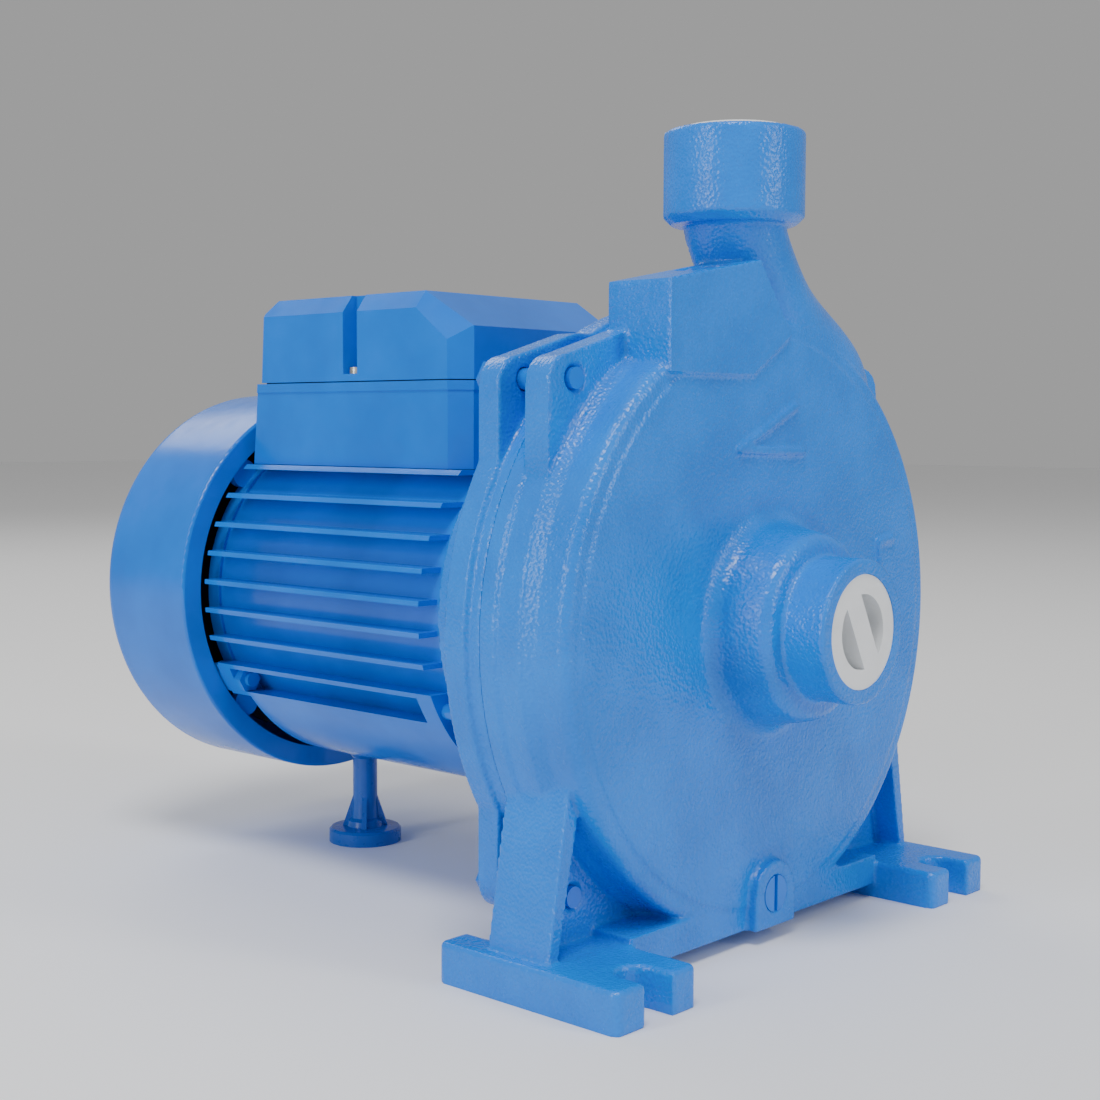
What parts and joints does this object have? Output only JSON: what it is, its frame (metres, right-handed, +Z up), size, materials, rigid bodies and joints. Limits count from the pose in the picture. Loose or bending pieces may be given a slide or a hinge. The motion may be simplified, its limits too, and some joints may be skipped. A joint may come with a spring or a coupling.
{
  "type": "centrifugal water pump",
  "caption": "Close-coupled centrifugal water pump: round cast casing with front and top threaded ports, finned electric motor, terminal box, fan cover and slotted feet.",
  "frame": {"origin": "centre of the bounding box's footprint, on the floor under the feet", "axes": "+Z up along the discharge port; +Y along the shaft from the suction port to the fan; +X to the right seen from the front"},
  "size_m": [0.1898, 0.2782, 0.2416],
  "materials": {
    "cast_paint": "glossy blue enamel on rough sand-cast iron",
    "smooth_paint": "glossy blue enamel on smooth metal",
    "stand_plastic": "dark blue moulded plastic, satin",
    "plug_plastic": "white moulded plastic, semi-gloss",
    "zinc_steel": "zinc-plated steel",
    "steel": "machined steel",
    "brass": "machined brass",
    "cast_brass": "cast brass, lightly polished",
    "rubber": "black rubber, matte",
    "ceramic": "white ceramic, lapped face",
    "carbon": "carbon graphite, dull",
    "lamination": "stacked electrical steel",
    "cast_aluminium": "die-cast aluminium, plain",
    "copper": "varnished copper wire",
    "black_plastic": "black moulded plastic, satin",
    "bearing_steel": "polished bearing steel",
    "capacitor_case": "pale grey plastic can",
    "phenolic": "dark brown moulded resin"
  },
  "bodies": {
    "housing": {"pump_casing": "cast_paint", "bracket": "cast_paint", "drain_plug": "smooth_paint", "priming_plug": "smooth_paint", "casing_bolts": "smooth_paint", "bolt_washers": "smooth_paint", "casing_o_ring": "rubber", "seal_seat": "ceramic", "seat_cup": "rubber", "front_outer_ring": "bearing_steel", "rear_outer_ring": "bearing_steel", "motor_frame": "smooth_paint", "front_frame_screws": "smooth_paint", "rear_frame_screws": "smooth_paint", "rear_frame_nuts": "smooth_paint", "stator_core": "lamination", "winding": "copper", "end_shield": "smooth_paint", "curved_washer": "steel", "fan_cover": "smooth_paint", "cover_screws": "zinc_steel", "terminal_base": "smooth_paint", "lid_gasket": "rubber", "terminal_lid": "smooth_paint", "lid_screws": "zinc_steel", "terminal_board": "phenolic", "terminal_studs": "brass", "capacitor": "capacitor_case", "box_screws": "zinc_steel", "gland_body": "black_plastic", "gland_seal": "rubber", "gland_nut": "black_plastic", "stand": "stand_plastic", "stand_screw": "zinc_steel"},
    "rotor": {"shaft": "steel", "rotor_core": "lamination", "rotor_end_rings": "cast_aluminium", "impeller": "cast_brass", "impeller_key": "steel", "impeller_washer": "steel", "impeller_nut": "brass", "carbon_ring": "carbon", "seal_bellows": "rubber", "seal_spring": "steel", "slinger": "rubber", "cooling_fan": "black_plastic", "fan_clip": "steel", "front_inner_ring": "bearing_steel", "rear_inner_ring": "bearing_steel"},
    "front_ball_set": {"front_balls": "bearing_steel", "front_cage": "steel"},
    "rear_ball_set": {"rear_balls": "bearing_steel", "rear_cage": "steel"},
    "suction_plug_body": {"suction_plug": "plug_plastic"},
    "discharge_plug_body": {"discharge_plug": "plug_plastic"}
  },
  "joints": [
    {"name": "rotor_spin", "type": "hinge", "parent": "housing", "child": "rotor", "pos_m": [0, 0, 0.0955], "axis": [0, 1, 0], "continuous": true},
    {"name": "front_ball_set_spin", "type": "hinge", "parent": "housing", "child": "front_ball_set", "pos_m": [0, -0.0379, 0.0955], "axis": [0, 1, 0], "continuous": true},
    {"name": "rear_ball_set_spin", "type": "hinge", "parent": "housing", "child": "rear_ball_set", "pos_m": [0, 0.0836, 0.0955], "axis": [0, 1, 0], "continuous": true},
    {"name": "suction_plug_pull", "type": "slide", "parent": "housing", "child": "suction_plug_body", "axis": [0, -1, 0], "range_m": [0, 0.03]},
    {"name": "discharge_plug_pull", "type": "slide", "parent": "housing", "child": "discharge_plug_body", "axis": [0, 0, 1], "range_m": [0, 0.03]}
  ],
  "couplings": [
    {"joint": "front_ball_set_spin", "follows": "rotor_spin", "ratio": 0.3825},
    {"joint": "rear_ball_set_spin", "follows": "rotor_spin", "ratio": 0.382}
  ]
}
